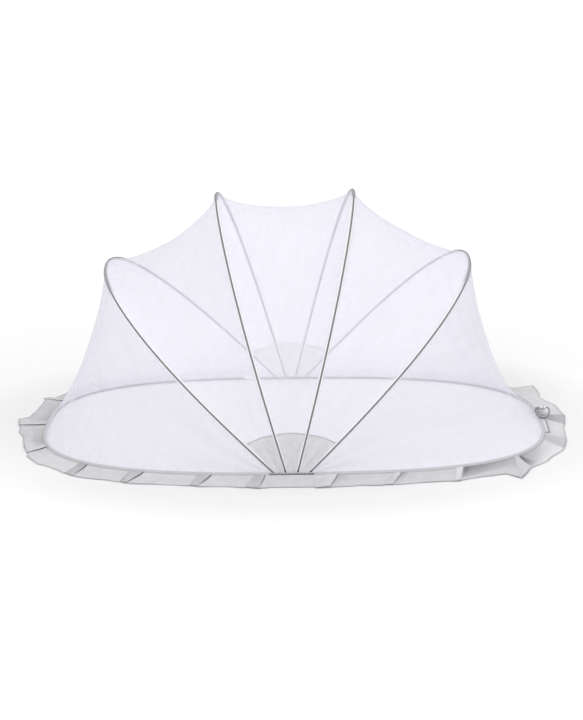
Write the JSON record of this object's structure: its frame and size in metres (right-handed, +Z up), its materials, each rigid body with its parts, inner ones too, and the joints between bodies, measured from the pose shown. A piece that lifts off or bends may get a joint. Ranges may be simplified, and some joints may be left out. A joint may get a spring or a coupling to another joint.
{
  "type": "mosquito net tent",
  "caption": "Folding mosquito net tent that stands over a sleeping place: oval wire base ring in a pleated skirt, wire hoops that open like a fan, and netting between them.",
  "frame": {"origin": "on the floor under the middle of the base ring, which is the bottom centre of the bounding box", "axes": "+X along the length towards the end with the D-ring, +Y from the front to the back, +Z up, away from the floor that the skirt lies on"},
  "size_m": [1.2233, 0.7242, 0.53],
  "materials": {
    "netting": "fine white polyester mesh, sheer, with soft creases",
    "binding": "narrow woven grey tape, stitched along both edges",
    "skirt_cloth": "light grey plain-weave polyester, matte, knife-pleated",
    "patch_cloth": "light grey plain-weave polyester, matte",
    "webbing": "light grey ribbed polyester tape",
    "wire": "drawn spring steel wire",
    "tip_plastic": "moulded end cap",
    "connector_plastic": "white extruded tube",
    "ring_metal": "plated steel wire, polished"
  },
  "bodies": {
    "base_right": {"base_wire_right": "wire", "base_tip_front_right": "tip_plastic", "base_tip_back_right": "tip_plastic", "hem_right": "binding", "skirt_right": "skirt_cloth", "net_end_right": "netting", "ring_tab": "webbing", "tie_strap": "webbing"},
    "tie_ring": {"d_ring": "ring_metal"},
    "hoop_outer_right": {"hoop_wire_outer_right": "wire", "hoop_sleeve_outer_right": "binding", "hoop_tip_front_outer_right": "tip_plastic", "hoop_tip_back_outer_right": "tip_plastic", "hem_pocket_front_outer_right": "binding", "hem_pocket_back_outer_right": "binding", "skirt_gore_front_outer_right": "skirt_cloth", "skirt_gore_back_outer_right": "skirt_cloth", "net_right": "netting", "patch_front_right": "patch_cloth", "patch_back_right": "patch_cloth"},
    "hoop_inner_right": {"hoop_wire_inner_right": "wire", "hoop_sleeve_inner_right": "binding", "hoop_tip_front_inner_right": "tip_plastic", "hoop_tip_back_inner_right": "tip_plastic", "hem_pocket_front_inner_right": "binding", "hem_pocket_back_inner_right": "binding", "skirt_gore_front_inner_right": "skirt_cloth", "skirt_gore_back_inner_right": "skirt_cloth", "net_top": "netting", "patch_front_middle": "patch_cloth", "patch_back_middle": "patch_cloth"},
    "hoop_inner_left": {"hoop_wire_inner_left": "wire", "hoop_sleeve_inner_left": "binding", "hoop_tip_front_inner_left": "tip_plastic", "hoop_tip_back_inner_left": "tip_plastic", "hem_pocket_front_inner_left": "binding", "hem_pocket_back_inner_left": "binding", "skirt_gore_front_inner_left": "skirt_cloth", "skirt_gore_back_inner_left": "skirt_cloth", "net_left": "netting", "patch_front_left": "patch_cloth", "patch_back_left": "patch_cloth"},
    "hoop_outer_left": {"hoop_wire_outer_left": "wire", "hoop_sleeve_outer_left": "binding", "hoop_tip_front_outer_left": "tip_plastic", "hoop_tip_back_outer_left": "tip_plastic", "hem_pocket_front_outer_left": "binding", "hem_pocket_back_outer_left": "binding", "skirt_gore_front_outer_left": "skirt_cloth", "skirt_gore_back_outer_left": "skirt_cloth", "net_end_left": "netting"},
    "base_left": {"base_wire_left": "wire", "base_wire_left_back": "wire", "base_tip_front_left": "tip_plastic", "base_tip_back_left": "tip_plastic", "hem_left": "binding", "hem_left_back": "binding", "skirt_left": "skirt_cloth", "wire_connector": "connector_plastic"}
  },
  "joints": [
    {"name": "fold_outer_right", "type": "hinge", "parent": "base_right", "child": "hoop_outer_right", "pos_m": [0.04, 0, 0.00739], "axis": [0, 1, 0], "range_deg": [0, 39], "deforming": ["net_end_right"]},
    {"name": "fold_inner_right", "type": "hinge", "parent": "hoop_outer_right", "child": "hoop_inner_right", "pos_m": [0.017, 0, 0.00739], "axis": [0, 1, 0], "range_deg": [0, 29.5], "deforming": ["net_right", "patch_front_right", "patch_back_right"]},
    {"name": "fold_inner_left", "type": "hinge", "parent": "hoop_inner_right", "child": "hoop_inner_left", "pos_m": [-0.006, 0, 0.00739], "axis": [0, 1, 0], "range_deg": [0, 29], "deforming": ["net_top", "patch_front_middle", "patch_back_middle"]},
    {"name": "fold_outer_left", "type": "hinge", "parent": "hoop_inner_left", "child": "hoop_outer_left", "pos_m": [-0.029, 0, 0.00739], "axis": [0, 1, 0], "range_deg": [0, 29], "deforming": ["net_left", "patch_front_left", "patch_back_left"]},
    {"name": "fold_base_left", "type": "hinge", "parent": "hoop_outer_left", "child": "base_left", "pos_m": [-0.052, 0, 0.00739], "axis": [0, 1, 0], "range_deg": [0, 45.5], "deforming": ["net_end_left"]},
    {"name": "ring_swing", "type": "hinge", "parent": "base_right", "child": "tie_ring", "pos_m": [0.55746, 0.014, 0.02639], "axis": [-1, 0, 0], "range_deg": [0, 120]}
  ],
  "couplings": [
    {"joint": "fold_inner_right", "follows": "fold_outer_right", "ratio": 0.75641},
    {"joint": "fold_inner_left", "follows": "fold_outer_right", "ratio": 0.74359},
    {"joint": "fold_outer_left", "follows": "fold_outer_right", "ratio": 0.74359},
    {"joint": "fold_base_left", "follows": "fold_outer_right", "ratio": 1.1667}
  ]
}
